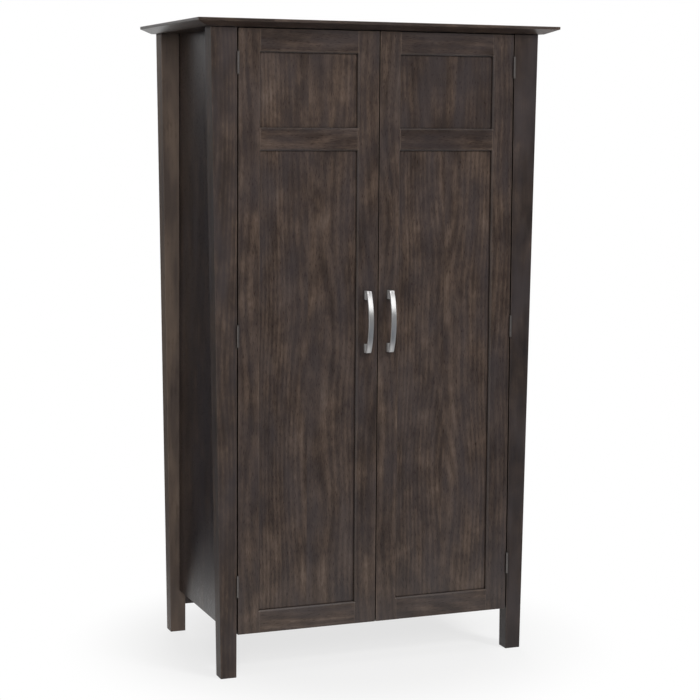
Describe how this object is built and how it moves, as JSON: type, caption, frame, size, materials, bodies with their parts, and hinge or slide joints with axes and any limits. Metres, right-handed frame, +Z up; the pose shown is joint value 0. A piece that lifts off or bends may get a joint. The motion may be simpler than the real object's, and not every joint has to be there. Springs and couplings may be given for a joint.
{
  "type": "computer armoire",
  "caption": "Tall freestanding computer armoire on tapered post feet, with an overhanging top, framed doors with arched pulls, and a worktop, pull-out tray and file drawer inside.",
  "frame": {"origin": "floor level, at the middle of the plan box, which the top board sets", "axes": "+Z up, -Y out of the front towards the user, +X to the right as seen from the front"},
  "size_m": [1.128, 0.624, 1.905],
  "materials": {
    "stained_hardwood": "dark charcoal-brown stain under satin lacquer",
    "backing_plywood": "thin plywood, stained to match",
    "brushed_nickel": "satin brushed nickel plate",
    "plain_steel": "plain zinc-plated steel",
    "black_plastic": "moulded matte black"
  },
  "bodies": {
    "case": {"back_panel": "backing_plywood", "back_screws": "plain_steel", "bottom_panel": "stained_hardwood", "cable_grommets": "black_plastic", "door_catches": "black_plastic", "drawer_outer_slides": "plain_steel", "front_left_post": "stained_hardwood", "front_right_post": "stained_hardwood", "front_top_rail": "stained_hardwood", "hinge_case_leaves": "plain_steel", "hinge_case_screws": "plain_steel", "hinge_pins": "plain_steel", "left_gable": "stained_hardwood", "left_side_panel": "stained_hardwood", "partition": "stained_hardwood", "rear_bottom_rail": "stained_hardwood", "rear_left_post": "stained_hardwood", "rear_right_post": "stained_hardwood", "rear_top_rail": "stained_hardwood", "right_gable": "stained_hardwood", "right_side_panel": "stained_hardwood", "shelf_pins": "plain_steel", "top_board": "stained_hardwood", "tray_outer_slides": "plain_steel", "upper_shelf": "stained_hardwood", "worktop": "stained_hardwood"},
    "left_door": {"left_door_bottom_rail": "stained_hardwood", "left_door_hinge_leaves": "plain_steel", "left_door_hinge_screws": "plain_steel", "left_door_hinge_stile": "stained_hardwood", "left_door_lower_panel": "stained_hardwood", "left_door_meeting_stile": "stained_hardwood", "left_door_middle_rail": "stained_hardwood", "left_door_pull": "brushed_nickel", "left_door_pull_screws": "plain_steel", "left_door_strike_plate": "plain_steel", "left_door_top_rail": "stained_hardwood", "left_door_upper_panel": "stained_hardwood"},
    "right_door": {"right_door_bottom_rail": "stained_hardwood", "right_door_hinge_leaves": "plain_steel", "right_door_hinge_screws": "plain_steel", "right_door_hinge_stile": "stained_hardwood", "right_door_lower_panel": "stained_hardwood", "right_door_meeting_stile": "stained_hardwood", "right_door_middle_rail": "stained_hardwood", "right_door_pull": "brushed_nickel", "right_door_pull_screws": "plain_steel", "right_door_strike_plate": "plain_steel", "right_door_top_rail": "stained_hardwood", "right_door_upper_panel": "stained_hardwood"},
    "keyboard_tray": {"keyboard_tray": "stained_hardwood", "tray_inner_slides": "plain_steel"},
    "file_drawer": {"drawer_back": "stained_hardwood", "drawer_bottom": "backing_plywood", "drawer_front": "stained_hardwood", "drawer_inner_slides": "plain_steel", "drawer_left_side": "stained_hardwood", "drawer_right_side": "stained_hardwood"}
  },
  "joints": [
    {"name": "left_door_hinge", "type": "hinge", "parent": "case", "child": "left_door", "pos_m": [-0.434, -0.27, 1.0035], "axis": [0, 0, -1], "range_deg": [0, 170]},
    {"name": "right_door_hinge", "type": "hinge", "parent": "case", "child": "right_door", "pos_m": [0.434, -0.27, 1.0035], "axis": [0, 0, 1], "range_deg": [0, 170]},
    {"name": "keyboard_tray_slide", "type": "slide", "parent": "case", "child": "keyboard_tray", "axis": [0, -1, 0], "range_m": [0, 0.3]},
    {"name": "file_drawer_slide", "type": "slide", "parent": "case", "child": "file_drawer", "axis": [0, -1, 0], "range_m": [0, 0.3]}
  ],
  "couplings": [
    {"joint": "keyboard_tray_slide", "follows": "left_door_hinge", "m_per_rad": 0.10111},
    {"joint": "file_drawer_slide", "follows": "right_door_hinge", "m_per_rad": 0.10111}
  ]
}
